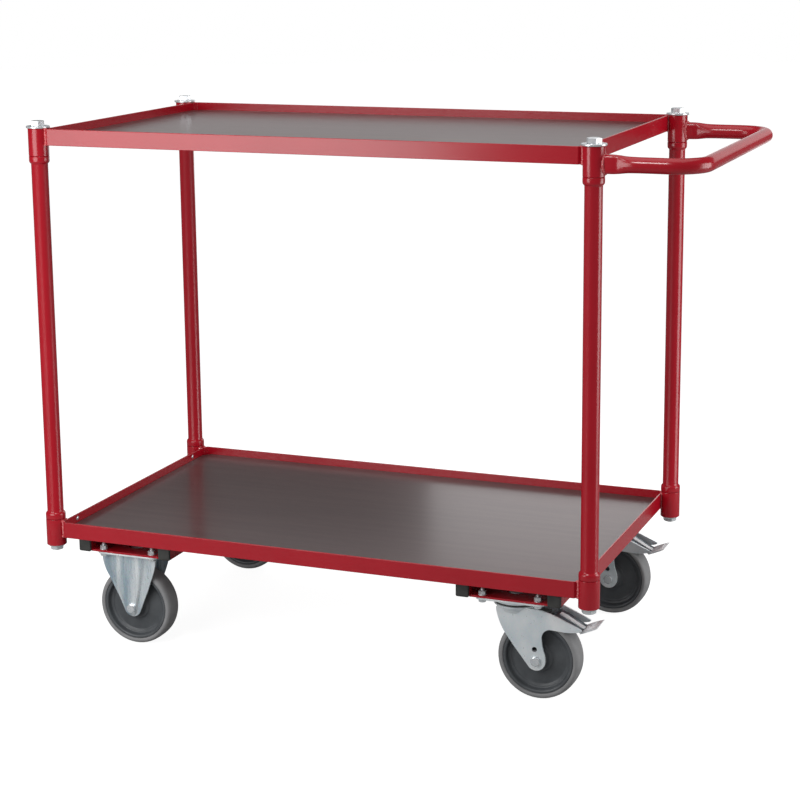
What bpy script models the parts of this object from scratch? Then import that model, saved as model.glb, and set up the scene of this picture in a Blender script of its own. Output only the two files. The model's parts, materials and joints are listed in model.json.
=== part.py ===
"""Two-shelf table trolley: angle frames with boards, bolted tube posts, a push handle and four castors.

Metres, +Z up, standing on z = 0. +X points to the handle end, -Y to the front side. The two castors at
the -X end are rigid, the two at the +X end swivel and carry a brake. Every object hangs on one empty,
whose offset puts the origin under the centre of the whole trolley.
"""

import math

import bmesh
import bpy
from mathutils import Vector

GAP = 0.0003  # clearance kept between touching pieces
OVERLAP = 0.001  # how far two joined solids run into each other
THROUGH = 0.010  # how far a cutter runs past the piece that it cuts

SHARP_ANGLE = 35  # degrees

# Sides of round pieces
SMALL_SIDES = 12
ROUND_SIDES = 16
WASHER_SIDES = 24
HEX_SIDES = 6

# Shelf frames: an upright lip with a flange turned in under the board
FRAME_LENGTH = 0.848
FRAME_WIDTH = 0.495
FRAME_CORNER_CUT = 0.012
LIP_HEIGHT = 0.025
ANGLE_THICKNESS = 0.003
FLANGE_WIDTH = 0.018
LOWER_FRAME_BOTTOM = 0.1745
UPPER_FRAME_BOTTOM = 0.7935
BOARD_THICKNESS = 0.009
BOARD_CORNER_CUT = 0.0125

# Corner sleeves on the frames and the posts between them
POST_SPACING_X = 0.874
POST_SPACING_Y = 0.477
SLEEVE_RADIUS = 0.0155
SLEEVE_BORE = 0.0125
SLEEVE_HEIGHT = 0.042
LOWER_SLEEVE_BOTTOM = 0.161
UPPER_SLEEVE_BOTTOM = 0.777
POST_RADIUS = 0.0128
POST_BORE = 0.0105
COLLAR_HEIGHT = 0.011
COLLAR_EDGE = 0.002

# Tie rod, washer and nut that clamp each corner
ROD_RADIUS = 0.006
HEX_RADIUS = 0.01095  # over the corners, 19 mm across the flats
HEAD_HEIGHT = 0.0075
WASHER_RADIUS = 0.018
WASHER_THICKNESS = 0.003
NUT_FLANGE_RADIUS = 0.013
NUT_FLANGE_THICKNESS = 0.002
NUT_HEIGHT = 0.006
ROD_CLEARANCE = 0.0004
ROD_THREAD_END = 0.0015  # thread that stands out below the nut

# Push handle: one bent tube with flattened ends
HANDLE_REACH = 0.148  # from the post axis to the axis of the grip
HANDLE_HEIGHT = 0.7945
HANDLE_RADIUS = 0.011
HANDLE_WALL = 0.002
HANDLE_BEND = 0.045
HANDLE_END_HEIGHT = 0.0265
HANDLE_END_WIDTH = 0.014
HANDLE_FLAT_LENGTH = 0.016
HANDLE_BLEND_LENGTH = 0.030

# Castor carriers: pairs of square tubes across the underside
CASTOR_X = 0.3155  # castor plate centre from the trolley's centre
CASTOR_Y = 0.196
TUBE_SIZE = 0.020
TUBE_WALL = 0.002
TUBE_OFFSET = 0.070
TUBE_LENGTH = 0.472
CARRIER_PLATE_WIDTH = 0.079
CARRIER_PLATE_THICKNESS = 0.003
CARRIER_PLATE_HOLE = 0.014
CAP_THICKNESS = 0.005
CAP_PLUG_DEPTH = 0.012

# Castors
WHEEL_RADIUS = 0.0625
TYRE_WIDTH = 0.034
TYRE_THICKNESS = 0.0087
TYRE_SHOULDER = 0.005
RIM_WIDTH = 0.031
RIM_BAND = 0.0045
WEB_THICKNESS = 0.007
HUB_RADIUS = 0.0155
HUB_WIDTH = 0.0435
HUB_SLOPE = 0.003
TYRE_SIDES = 32
RIM_SIDES = 24
BUSH_RADIUS = 0.0078
BUSH_LENGTH = 0.0445
AXLE_RADIUS = 0.004
AXLE_HEX_RADIUS = 0.0075  # 13 mm across the flats
AXLE_HEX_HEIGHT = 0.0055
AXLE_THREAD_END = 0.002
LEG_INNER = 0.0226  # from the wheel's middle plane to a leg's inner face
LEG_THICKNESS = 0.0028
LEG_TOE_RADIUS = 0.0145
PLATE_LENGTH = 0.105
PLATE_WIDTH = 0.078
PLATE_THICKNESS = 0.003

# Swivel head and brake
TRAIL = 0.037
RACE_RADIUS = 0.035
RACE_INNER = 0.026
RACE_DEPTH = 0.0045
CROWN_TOP = 0.1425
CROWN_THICKNESS = 0.003
CROWN_RADIUS = 0.034
CROWN_RING_HEIGHT = 0.002
CROWN_RING_RADIUS = 0.030
KING_PIN_RADIUS = 0.006
KING_PIN_HEAD_RADIUS = 0.011
KING_PIN_HEAD_HEIGHT = 0.0035
SPARE_HOLE_OFFSET = (-0.002, 0.0175)  # from the axle
SPARE_HOLE_RADIUS = 0.004
PEDAL_PIVOT_X = 0.062
PEDAL_PIVOT_Z = 0.128
PEDAL_HALF_WIDTH = 0.0165
PEDAL_TOE_HALF_WIDTH = 0.0195
PEDAL_PIN_RADIUS = 0.003
SHOE_HALF_WIDTH = 0.015
SHOE_CLEARANCE = 0.0028
SHOE_THICKNESS = 0.0035
SHOE_ARC = (80, 116)  # degrees round the axle, from +X

TUBE_TOP = LOWER_FRAME_BOTTOM - GAP
TUBE_BOTTOM = TUBE_TOP - TUBE_SIZE
PLATE_TOP = TUBE_BOTTOM - GAP
PLATE_BOTTOM = PLATE_TOP - PLATE_THICKNESS
AXLE_HOLE_RADIUS = AXLE_RADIUS + GAP
KING_PIN_HOLE_RADIUS = KING_PIN_RADIUS + GAP
HANDLE_END = POST_SPACING_X / 2 + HANDLE_REACH + HANDLE_RADIUS
LEFT_END = POST_SPACING_X / 2 + WASHER_RADIUS
CENTRE_X = (LEFT_END - HANDLE_END) / 2

ENDS = {"left": -1, "right": 1}
SIDES = {"front": -1, "rear": 1}
CORNERS = {f"{side}_{end}": (ENDS[end], SIDES[side]) for side in SIDES for end in ENDS}


# ---------------------------------------------------------------- scene and materials


def clear_scene():
    for item in list(bpy.data.objects):
        bpy.data.objects.remove(item, do_unlink=True)


def make_material(name, color, roughness, metallic=0.0):
    material = bpy.data.materials.new(name)
    material.use_nodes = True
    shader = material.node_tree.nodes["Principled BSDF"]
    shader.inputs["Base Color"].default_value = (*color, 1.0)
    shader.inputs["Roughness"].default_value = roughness
    shader.inputs["Metallic"].default_value = metallic
    material.diffuse_color = (*color, 1.0)
    return material


def make_materials():
    return {
        "red_powder_coat": make_material("red_powder_coat", (0.45, 0.012, 0.02), 0.3),
        "board_film": make_material("board_film", (0.12, 0.085, 0.08), 0.3),
        "bright_zinc": make_material("bright_zinc", (0.78, 0.81, 0.83), 0.3, 1.0),
        "pressed_zinc": make_material("pressed_zinc", (0.66, 0.72, 0.74), 0.38, 0.9),
        "black_plastic": make_material("black_plastic", (0.03, 0.031, 0.03), 0.5),
        "rim_plastic": make_material("rim_plastic", (0.045, 0.05, 0.055), 0.45),
        "grey_rubber": make_material("grey_rubber", (0.2, 0.2, 0.21), 0.6),
    }


# ---------------------------------------------------------------- shape helpers


def closed_faces(bm):
    bmesh.ops.recalc_face_normals(bm, faces=bm.faces)
    return bm


def prism(outline, low, high, axis="z"):
    """A flat outline pushed from low to high along z, or along y, where the outline is (x, z)."""
    point = (lambda a, b, h: (a, b, h)) if axis == "z" else (lambda a, b, h: (a, h, b))
    bm = bmesh.new()
    bottom = [bm.verts.new(point(a, b, low)) for a, b in outline]
    top = [bm.verts.new(point(a, b, high)) for a, b in outline]
    bm.faces.new(bottom)
    bm.faces.new(top)
    count = len(outline)
    for i in range(count):
        j = (i + 1) % count
        bm.faces.new((bottom[i], bottom[j], top[j], top[i]))
    return closed_faces(bm)


def block(low, high):
    outline = [(low[0], low[1]), (high[0], low[1]), (high[0], high[1]), (low[0], high[1])]
    return prism(outline, low[2], high[2])


def circle(radius, segments, centre=(0.0, 0.0)):
    """Points of a polygon with a flat side facing down."""
    step = 2 * math.pi / segments
    return [
        (centre[0] + radius * math.cos((i + 0.5) * step), centre[1] + radius * math.sin((i + 0.5) * step))
        for i in range(segments)
    ]


def arc(centre, radius, start, end, segments):
    """Points of an arc, angles in degrees from the first axis."""
    angles = [math.radians(start + (end - start) * i / segments) for i in range(segments + 1)]
    return [(centre[0] + radius * math.cos(a), centre[1] + radius * math.sin(a)) for a in angles]


def bridge_rings(bm, rings, loop):
    """Quads between rings of vertices, closing back to the first ring when loop is set."""
    pairs = list(zip(rings, rings[1:]))
    if loop:
        pairs.append((rings[-1], rings[0]))
    for ring, following in pairs:
        count = len(ring)
        for i in range(count):
            j = (i + 1) % count
            bm.faces.new((ring[i], ring[j], following[j], following[i]))


def turned(profile, segments, axis="z"):
    """A hollow turned piece: profile is a closed loop of (radius, height) about the axis."""
    bm = bmesh.new()
    rings = []
    for radius, height in profile:
        points = circle(radius, segments)
        if axis == "z":
            rings.append([bm.verts.new((a, b, height)) for a, b in points])
        else:
            rings.append([bm.verts.new((a, height, b)) for a, b in points])
    bridge_rings(bm, rings, loop=True)
    return closed_faces(bm)


def octagon(half_x, half_y, cut, inset=0.0):
    """Corners of a rectangle with cut corners, moved inwards by inset."""
    x, y = half_x - inset, half_y - inset
    c = cut - inset * (2 - math.sqrt(2))
    right = [(x, -y + c), (x, y - c), (x - c, y)]
    left = [(-x + c, y), (-x, y - c), (-x, -y + c)]
    return right + left + [(-x + c, -y), (x - c, -y)]


def as_object(name, bm):
    mesh = bpy.data.meshes.new(name)
    bm.to_mesh(mesh)
    bm.free()
    item = bpy.data.objects.new(name, mesh)
    bpy.context.scene.collection.objects.link(item)
    return item


def boolean_mesh(name, base, joined=(), cut=()):
    """One mesh from a base solid, the solids joined to it and the solids cut out of it."""
    body = as_object(name, base)
    helpers = []
    for operation, shapes in (("UNION", joined), ("DIFFERENCE", cut)):
        for shape in shapes:
            helper = as_object(f"{name}_{operation.lower()}", shape)
            helpers.append(helper)
            modifier = body.modifiers.new(operation, "BOOLEAN")
            modifier.operation = operation
            modifier.solver = "EXACT"
            modifier.object = helper
    graph = bpy.context.evaluated_depsgraph_get()
    mesh = bpy.data.meshes.new_from_object(body.evaluated_get(graph))
    for item in [body, *helpers]:
        bpy.data.objects.remove(item, do_unlink=True)
    mesh.name = name
    return mesh


def place(name, mesh, material, parent, location=(0.0, 0.0, 0.0)):
    """A named object from a mesh or a bmesh, with its material, parent and place."""
    if isinstance(mesh, bmesh.types.BMesh):
        data = bpy.data.meshes.new(name)
        mesh.to_mesh(data)
        mesh.free()
        mesh = data
    mesh.materials.clear()
    mesh.materials.append(material)
    mesh.shade_smooth()
    mesh.set_sharp_from_angle(angle=math.radians(SHARP_ANGLE))
    item = bpy.data.objects.new(name, mesh)
    item.parent = parent
    item.location = location
    bpy.context.scene.collection.objects.link(item)
    return item


def empty(name, parent, location):
    item = bpy.data.objects.new(name, None)
    item.parent = parent
    item.location = location
    bpy.context.scene.collection.objects.link(item)
    return item


# ---------------------------------------------------------------- shelves and posts


def corner_place(corner, z=0.0):
    end, side = CORNERS[corner]
    return (end * POST_SPACING_X / 2, side * POST_SPACING_Y / 2, z)


def angle_ring(bottom):
    """The welded angle frame: an L section carried round the cut-corner rectangle."""
    section = [
        (0.0, 0.0),
        (0.0, LIP_HEIGHT),
        (ANGLE_THICKNESS, LIP_HEIGHT),
        (ANGLE_THICKNESS, ANGLE_THICKNESS),
        (FLANGE_WIDTH, ANGLE_THICKNESS),
        (FLANGE_WIDTH, 0.0),
    ]
    bm = bmesh.new()
    rings = []
    for inset, height in section:
        outline = octagon(FRAME_LENGTH / 2, FRAME_WIDTH / 2, FRAME_CORNER_CUT, inset)
        rings.append([bm.verts.new((x, y, bottom + height)) for x, y in outline])
    bridge_rings(bm, rings, loop=True)
    return closed_faces(bm)


def shelf_frame(name, frame_bottom, sleeve_bottom, material, parent):
    sleeve_top = sleeve_bottom + SLEEVE_HEIGHT
    sleeves = []
    bores = []
    for corner in CORNERS:
        x, y, _ = corner_place(corner)
        sleeves.append(prism(circle(SLEEVE_RADIUS, ROUND_SIDES, (x, y)), sleeve_bottom, sleeve_top))
        bore = circle(SLEEVE_BORE, ROUND_SIDES, (x, y))
        bores.append(prism(bore, sleeve_bottom - THROUGH, sleeve_top + THROUGH))
    mesh = boolean_mesh(name, angle_ring(frame_bottom), sleeves, bores)
    place(name, mesh, material, parent)


def shelf_board(name, frame_bottom, material, parent):
    inset = ANGLE_THICKNESS + GAP
    half_x, half_y = FRAME_LENGTH / 2 - inset, FRAME_WIDTH / 2 - inset
    outline = octagon(half_x, half_y, BOARD_CORNER_CUT)
    bottom = frame_bottom + inset
    place(name, prism(outline, bottom, bottom + BOARD_THICKNESS), material, parent)


def post_profile():
    """Closed section of a post: a tube with a rounded collar at each end."""
    bottom = LOWER_SLEEVE_BOTTOM + SLEEVE_HEIGHT + GAP
    top = UPPER_SLEEVE_BOTTOM - GAP
    lower_edge = bottom + COLLAR_HEIGHT
    upper_edge = top - COLLAR_HEIGHT
    return [
        (SLEEVE_RADIUS, bottom),
        (SLEEVE_RADIUS, lower_edge - COLLAR_EDGE),
        (POST_RADIUS, lower_edge),
        (POST_RADIUS, upper_edge),
        (SLEEVE_RADIUS, upper_edge + COLLAR_EDGE),
        (SLEEVE_RADIUS, top),
        (POST_BORE, top),
        (POST_BORE, bottom),
    ]


def posts_and_fasteners(materials, parent):
    washer_bottom = UPPER_SLEEVE_BOTTOM + SLEEVE_HEIGHT + GAP
    head_bottom = washer_bottom + WASHER_THICKNESS + GAP
    nut_top = LOWER_SLEEVE_BOTTOM - GAP
    flange_bottom = nut_top - NUT_FLANGE_THICKNESS
    nut_bottom = flange_bottom - NUT_HEIGHT
    rod_end = nut_bottom - ROD_THREAD_END
    hole = ROD_RADIUS + ROD_CLEARANCE

    rod = boolean_mesh(
        "tie_rod",
        prism(circle(ROD_RADIUS, SMALL_SIDES), rod_end, head_bottom + OVERLAP),
        [prism(circle(HEX_RADIUS, HEX_SIDES), head_bottom, head_bottom + HEAD_HEIGHT)],
    )
    nut = boolean_mesh(
        "flange_nut",
        prism(circle(NUT_FLANGE_RADIUS, ROUND_SIDES), flange_bottom, nut_top),
        [prism(circle(HEX_RADIUS, HEX_SIDES), nut_bottom, flange_bottom + OVERLAP)],
        [prism(circle(hole, SMALL_SIDES), nut_bottom - THROUGH, nut_top + THROUGH)],
    )
    washer = [
        (WASHER_RADIUS, washer_bottom),
        (WASHER_RADIUS, washer_bottom + WASHER_THICKNESS),
        (hole, washer_bottom + WASHER_THICKNESS),
        (hole, washer_bottom),
    ]
    for corner in CORNERS:
        where = corner_place(corner)
        place(f"post_{corner}", turned(post_profile(), ROUND_SIDES), materials["red_powder_coat"], parent, where)
        place(f"tie_rod_{corner}", rod, materials["bright_zinc"], parent, where)
        place(f"top_washer_{corner}", turned(washer, WASHER_SIDES), materials["bright_zinc"], parent, where)
        place(f"bottom_nut_{corner}", nut, materials["bright_zinc"], parent, where)


def handle_path():
    """Points of the handle's centre line with the distance run from each end, front arm first."""
    start = POST_SPACING_X / 2 + SLEEVE_RADIUS + GAP
    grip = POST_SPACING_X / 2 + HANDLE_REACH
    y = POST_SPACING_Y / 2
    arm = [0.0, HANDLE_FLAT_LENGTH]
    arm += [HANDLE_FLAT_LENGTH + HANDLE_BLEND_LENGTH * step / 4 for step in range(1, 5)]
    front = [(start + run, -y) for run in arm]
    bend = arc((grip - HANDLE_BEND, -y + HANDLE_BEND), HANDLE_BEND, -90, 0, 6)
    rear = [(x, -b) for x, b in reversed(front + bend)]
    return front + bend + rear


def push_handle(material, parent):
    path = [Vector((x, y, 0.0)) for x, y in handle_path()]
    start_x = path[0].x
    outer_rings = []
    inner_rings = []
    bm = bmesh.new()
    for i, point in enumerate(path):
        ahead = path[min(i + 1, len(path) - 1)]
        behind = path[max(i - 1, 0)]
        if i in (0, len(path) - 1):
            direction = Vector((1.0, 0.0, 0.0)) * (1 if i == 0 else -1)
        else:
            direction = ((ahead - point).normalized() + (point - behind).normalized()).normalized()
        sideways = Vector((direction.y, -direction.x, 0.0))
        blend = (point.x - start_x - HANDLE_FLAT_LENGTH) / HANDLE_BLEND_LENGTH
        blend = min(max(blend, 0.0), 1.0)
        blend = blend * blend * (3 - 2 * blend)
        half_width = HANDLE_END_WIDTH / 2 + (HANDLE_RADIUS - HANDLE_END_WIDTH / 2) * blend
        half_height = HANDLE_END_HEIGHT / 2 + (HANDLE_RADIUS - HANDLE_END_HEIGHT / 2) * blend
        for rings, wall in ((outer_rings, 0.0), (inner_rings, HANDLE_WALL)):
            ring = []
            for a, b in circle(1.0, SMALL_SIDES):
                offset = sideways * a * (half_width - wall)
                ring.append(bm.verts.new(point + offset + Vector((0.0, 0.0, b * (half_height - wall)))))
            rings.append(ring)
    bridge_rings(bm, outer_rings + inner_rings[::-1], loop=True)
    place("push_handle", closed_faces(bm), material, parent, (0.0, 0.0, HANDLE_HEIGHT))


# ---------------------------------------------------------------- castor carriers


def carrier_mesh():
    """Two square tubes joined by a holed plate at each end, centred on x = 0."""
    half = TUBE_SIZE / 2
    hollow = half - TUBE_WALL
    end = TUBE_LENGTH / 2
    plate_reach = TUBE_OFFSET - half + OVERLAP
    tubes = []
    hollows = []
    for x in (-TUBE_OFFSET, TUBE_OFFSET):
        tubes.append(block((x - half, -end, TUBE_BOTTOM), (x + half, end, TUBE_TOP)))
        low = (x - hollow, -end - THROUGH, TUBE_BOTTOM + TUBE_WALL)
        high = (x + hollow, end + THROUGH, TUBE_TOP - TUBE_WALL)
        hollows.append(block(low, high))
    plates = []
    holes = []
    plate_top = TUBE_BOTTOM + CARRIER_PLATE_THICKNESS
    for y in (-CASTOR_Y, CASTOR_Y):
        low = (-plate_reach, y - CARRIER_PLATE_WIDTH / 2, TUBE_BOTTOM)
        high = (plate_reach, y + CARRIER_PLATE_WIDTH / 2, plate_top)
        plates.append(block(low, high))
        hole = circle(CARRIER_PLATE_HOLE, ROUND_SIDES, (0.0, y))
        holes.append(prism(hole, TUBE_BOTTOM - THROUGH, plate_top + THROUGH))
    return boolean_mesh("castor_carrier", tubes[0], [*plates, tubes[1]], hollows + holes)


def cap_mesh(side):
    """A tube's end cap, with its plug, in the tube's own axes."""
    half = TUBE_SIZE / 2
    plug = half - TUBE_WALL - GAP
    face = side * (TUBE_LENGTH / 2 + GAP)
    outside = face + side * CAP_THICKNESS
    inside = face - side * CAP_PLUG_DEPTH
    head = block((-half, min(face, outside), -half), (half, max(face, outside), half))
    overlap = face + side * CAP_THICKNESS / 2
    stem = block((-plug, min(inside, overlap), -plug), (plug, max(inside, overlap), plug))
    return boolean_mesh("tube_cap", head, [stem])


def carriers(materials, parent):
    tube_middle = (TUBE_TOP + TUBE_BOTTOM) / 2
    for end, direction in ENDS.items():
        x = direction * CASTOR_X
        place(f"castor_carrier_{end}", carrier_mesh(), materials["red_powder_coat"], parent, (x, 0.0, 0.0))
        for side, way in SIDES.items():
            for row, offset in (("outer", direction), ("inner", -direction)):
                where = (x + offset * TUBE_OFFSET, 0.0, tube_middle)
                name = f"tube_cap_{side}_{end}_{row}"
                place(name, cap_mesh(way), materials["black_plastic"], parent, where)


# ---------------------------------------------------------------- wheels


def rim_profile():
    """Closed section of the rim: hub, web and outer band, as (radius, place across the wheel)."""
    band_outer = WHEEL_RADIUS - TYRE_THICKNESS - GAP
    band_inner = band_outer - RIM_BAND
    bore = BUSH_RADIUS + GAP
    hub, band, web = HUB_WIDTH / 2, RIM_WIDTH / 2, WEB_THICKNESS / 2
    side = [
        (bore, hub),
        (HUB_RADIUS, hub),
        (HUB_RADIUS + HUB_SLOPE, web),
        (band_inner - HUB_SLOPE, web),
        (band_inner, band),
        (band_outer, band),
    ]
    return side + [(radius, -across) for radius, across in reversed(side)]


def tyre_profile():
    inner = WHEEL_RADIUS - TYRE_THICKNESS
    half = TYRE_WIDTH / 2
    side = [
        (inner, half),
        (WHEEL_RADIUS - TYRE_SHOULDER, half),
        (WHEEL_RADIUS - TYRE_SHOULDER * 0.3, half - TYRE_SHOULDER * 0.3),
        (WHEEL_RADIUS, half - TYRE_SHOULDER),
    ]
    return side + [(radius, -across) for radius, across in reversed(side)]


def wheel(corner, materials, parent):
    """Rim and tyre with their origins on the axle."""
    to_corner = 1 / math.cos(math.pi / TYRE_SIDES)  # the tyre's radii are measured to its flats
    tyre = [(radius * to_corner, across) for radius, across in tyre_profile()]
    place(f"rim_{corner}", turned(rim_profile(), RIM_SIDES, "y"), materials["rim_plastic"], parent)
    place(f"tyre_{corner}", turned(tyre, TYRE_SIDES, "y"), materials["grey_rubber"], parent)


def axle_and_bush(corner, materials, parent):
    """The axle bolt with its nut drawn up on the far leg, and the spacer bush that the wheel turns on."""
    outside = LEG_INNER + LEG_THICKNESS + GAP
    head = outside + AXLE_HEX_HEIGHT
    tip = head + AXLE_THREAD_END
    bolt = boolean_mesh(
        "axle_bolt",
        prism(circle(AXLE_RADIUS, SMALL_SIDES), -outside - OVERLAP, tip, "y"),
        [
            prism(circle(AXLE_HEX_RADIUS, HEX_SIDES), -head, -outside, "y"),
            prism(circle(AXLE_HEX_RADIUS, HEX_SIDES), outside, head, "y"),
        ],
    )
    half = BUSH_LENGTH / 2
    bore = AXLE_HOLE_RADIUS
    bush = [(BUSH_RADIUS, -half), (BUSH_RADIUS, half), (bore, half), (bore, -half)]
    place(f"axle_bolt_{corner}", bolt, materials["bright_zinc"], parent)
    place(f"hub_bush_{corner}", turned(bush, SMALL_SIDES, "y"), materials["bright_zinc"], parent)


def leg_pair(outline):
    """The two legs of a bracket or fork from one (x, z) outline."""
    outside = LEG_INNER + LEG_THICKNESS
    return [prism(outline, -outside, -LEG_INNER, "y"), prism(outline, LEG_INNER, outside, "y")]


def leg_hole(x, z, radius):
    reach = LEG_INNER + LEG_THICKNESS + THROUGH
    return prism(circle(radius, SMALL_SIDES, (x, z)), -reach, reach, "y")


# ---------------------------------------------------------------- rigid castor


def rigid_leg_outline():
    """Wide at the plate, more so on the -X side, tapering in a soft curve to a round toe at the axle."""
    top = PLATE_BOTTOM + OVERLAP
    toe = arc((0.0, WHEEL_RADIUS), LEG_TOE_RADIUS, 200, 340, 8)
    right = [(0.0215, 0.0772), (0.0278, 0.092), (0.0330, 0.1067), (0.0385, 0.1214), (0.0425, 0.1362), (0.044, top)]
    left = [(-0.051, top), (-0.050, 0.1362), (-0.0455, 0.1214), (-0.0375, 0.1067), (-0.030, 0.092), (-0.0222, 0.0772)]
    return toe + right + left


def rigid_castor(corner, materials, parent):
    side = CORNERS[corner][1]
    anchor = empty(f"rigid_castor_{corner}", parent, (-CASTOR_X, side * CASTOR_Y, 0.0))
    half_x, half_y = PLATE_LENGTH / 2, PLATE_WIDTH / 2
    plate = block((-half_x, -half_y, PLATE_BOTTOM), (half_x, half_y, PLATE_TOP))
    hole = leg_hole(0.0, WHEEL_RADIUS, AXLE_HOLE_RADIUS)
    mesh = boolean_mesh("rigid_bracket", plate, leg_pair(rigid_leg_outline()), [hole])
    place(f"rigid_bracket_{corner}", mesh, materials["pressed_zinc"], anchor)
    axle = empty(f"axle_{corner}", anchor, (0.0, 0.0, WHEEL_RADIUS))
    axle_and_bush(corner, materials, axle)
    wheel(corner, materials, axle)


# ---------------------------------------------------------------- swivel castor


def fork_cheek_outline():
    """One cheek: level under the crown, a tail reaching back over the wheel, and a leg to the axle."""
    toe = arc((TRAIL, WHEEL_RADIUS), LEG_TOE_RADIUS, 215, 355, 8)
    throat = arc((0.060, 0.0985), 0.0145, 180, 95, 5)
    tail = [(0.084, 0.1115), (0.101, 0.1135), (0.106, 0.1155), (0.106, 0.1180)]
    top = [(0.0575, 0.1375), (0.045, 0.1405), (0.023, CROWN_TOP), (-0.022, CROWN_TOP)]
    front = [(-0.0235, 0.135), (-0.019, 0.117), (-0.0105, 0.1)]
    return toe + [(0.0465, 0.085)] + throat + tail + top + front


def fork_mesh():
    crown_bottom = CROWN_TOP - CROWN_THICKNESS
    crown = prism(circle(CROWN_RADIUS, WASHER_SIDES), crown_bottom, CROWN_TOP)
    ring_top = CROWN_TOP + CROWN_RING_HEIGHT
    ring = prism(circle(CROWN_RING_RADIUS, WASHER_SIDES), CROWN_TOP - OVERLAP, ring_top)
    cuts = [
        prism(circle(KING_PIN_HOLE_RADIUS, SMALL_SIDES), crown_bottom - THROUGH, ring_top + THROUGH),
        leg_hole(TRAIL, WHEEL_RADIUS, AXLE_HOLE_RADIUS),
        leg_hole(TRAIL + SPARE_HOLE_OFFSET[0], WHEEL_RADIUS + SPARE_HOLE_OFFSET[1], SPARE_HOLE_RADIUS),
    ]
    return boolean_mesh("fork", crown, [ring, *leg_pair(fork_cheek_outline())], cuts)


def swivel_top_plate_mesh():
    half_x, half_y = PLATE_LENGTH / 2, PLATE_WIDTH / 2
    plate = block((-half_x, -half_y, PLATE_BOTTOM), (half_x, half_y, PLATE_TOP))
    ring = prism(circle(RACE_RADIUS, WASHER_SIDES), PLATE_BOTTOM - RACE_DEPTH, PLATE_BOTTOM + OVERLAP)
    cuts = [
        prism(circle(RACE_INNER, WASHER_SIDES), PLATE_BOTTOM - THROUGH, PLATE_BOTTOM),
        prism(circle(KING_PIN_HOLE_RADIUS, SMALL_SIDES), PLATE_BOTTOM - THROUGH, PLATE_TOP + THROUGH),
    ]
    return boolean_mesh("swivel_top_plate", plate, [ring], cuts)


def king_pin_mesh():
    """A headed pin from under the crown up through the plate."""
    head_top = CROWN_TOP - CROWN_THICKNESS - GAP
    top_head_bottom = PLATE_TOP + GAP
    head = circle(KING_PIN_HEAD_RADIUS, SMALL_SIDES)
    lower_head = prism(head, head_top - KING_PIN_HEAD_HEIGHT, head_top)
    upper_head = prism(head, top_head_bottom, top_head_bottom + KING_PIN_HEAD_HEIGHT)
    shank = prism(circle(KING_PIN_RADIUS, SMALL_SIDES), head_top - OVERLAP, top_head_bottom + OVERLAP)
    return boolean_mesh("king_pin", shank, [lower_head, upper_head])


def pedal_mesh():
    """A bent foot pedal between the cheeks with its toe turned up, origin on its pivot."""
    px, pz = PEDAL_PIVOT_X, PEDAL_PIVOT_Z
    arm = [
        (0.058, 0.1245), (0.064, 0.1230), (0.099, 0.1105), (0.1035, 0.1100), (0.1275, 0.1205),
        (0.1265, 0.1230), (0.1030, 0.1130), (0.1000, 0.1135), (0.068, 0.1305), (0.060, 0.1325), (0.057, 0.1300),
    ]
    arm = [(x - px, z - pz) for x, z in arm]
    toe = [
        (0.1015, 0.1099), (0.1035, 0.1100), (0.1275, 0.1205), (0.1265, 0.1230), (0.1030, 0.1130),
    ]
    toe = [(x - px, z - pz) for x, z in toe]
    pin = prism(circle(PEDAL_PIN_RADIUS, SMALL_SIDES), -(LEG_INNER - GAP), LEG_INNER - GAP, "y")
    base = prism(arm, -PEDAL_HALF_WIDTH, PEDAL_HALF_WIDTH, "y")
    wide = prism(toe, -PEDAL_TOE_HALF_WIDTH, PEDAL_TOE_HALF_WIDTH, "y")
    return boolean_mesh("brake_pedal", base, [wide, pin])


def shoe_mesh():
    """The brake shoe: a curved pad that follows the tyre, in the fork's axes."""
    centre = (TRAIL, WHEEL_RADIUS)
    inner = WHEEL_RADIUS + SHOE_CLEARANCE
    lower = arc(centre, inner, SHOE_ARC[1], SHOE_ARC[0], 6)
    upper = arc(centre, inner + SHOE_THICKNESS, SHOE_ARC[0], SHOE_ARC[1], 6)
    return prism(lower + upper, -SHOE_HALF_WIDTH, SHOE_HALF_WIDTH, "y")


def swivel_castor(corner, materials, parent):
    side = CORNERS[corner][1]
    anchor = empty(f"king_pin_axis_{corner}", parent, (CASTOR_X, side * CASTOR_Y, 0.0))
    zinc, bright = materials["pressed_zinc"], materials["bright_zinc"]
    place(f"swivel_top_plate_{corner}", swivel_top_plate_mesh(), zinc, anchor)
    place(f"king_pin_{corner}", king_pin_mesh(), bright, anchor)
    place(f"fork_{corner}", fork_mesh(), zinc, anchor)
    axle = empty(f"axle_{corner}", anchor, (TRAIL, 0.0, WHEEL_RADIUS))
    axle_and_bush(corner, materials, axle)
    wheel(corner, materials, axle)
    place(f"brake_pedal_{corner}", pedal_mesh(), bright, anchor, (PEDAL_PIVOT_X, 0.0, PEDAL_PIVOT_Z))
    place(f"brake_shoe_{corner}", shoe_mesh(), materials["black_plastic"], anchor)


# ---------------------------------------------------------------- the trolley


def build_trolley():
    materials = make_materials()
    red, film = materials["red_powder_coat"], materials["board_film"]
    trolley = empty("trolley", None, (CENTRE_X, 0.0, 0.0))
    shelf_frame("upper_shelf_frame", UPPER_FRAME_BOTTOM, UPPER_SLEEVE_BOTTOM, red, trolley)
    shelf_frame("lower_shelf_frame", LOWER_FRAME_BOTTOM, LOWER_SLEEVE_BOTTOM, red, trolley)
    shelf_board("upper_shelf_board", UPPER_FRAME_BOTTOM, film, trolley)
    shelf_board("lower_shelf_board", LOWER_FRAME_BOTTOM, film, trolley)
    posts_and_fasteners(materials, trolley)
    push_handle(red, trolley)
    carriers(materials, trolley)
    for side in SIDES:
        rigid_castor(f"{side}_left", materials, trolley)
        swivel_castor(f"{side}_right", materials, trolley)
    bpy.context.view_layer.update()


clear_scene()
build_trolley()
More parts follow.
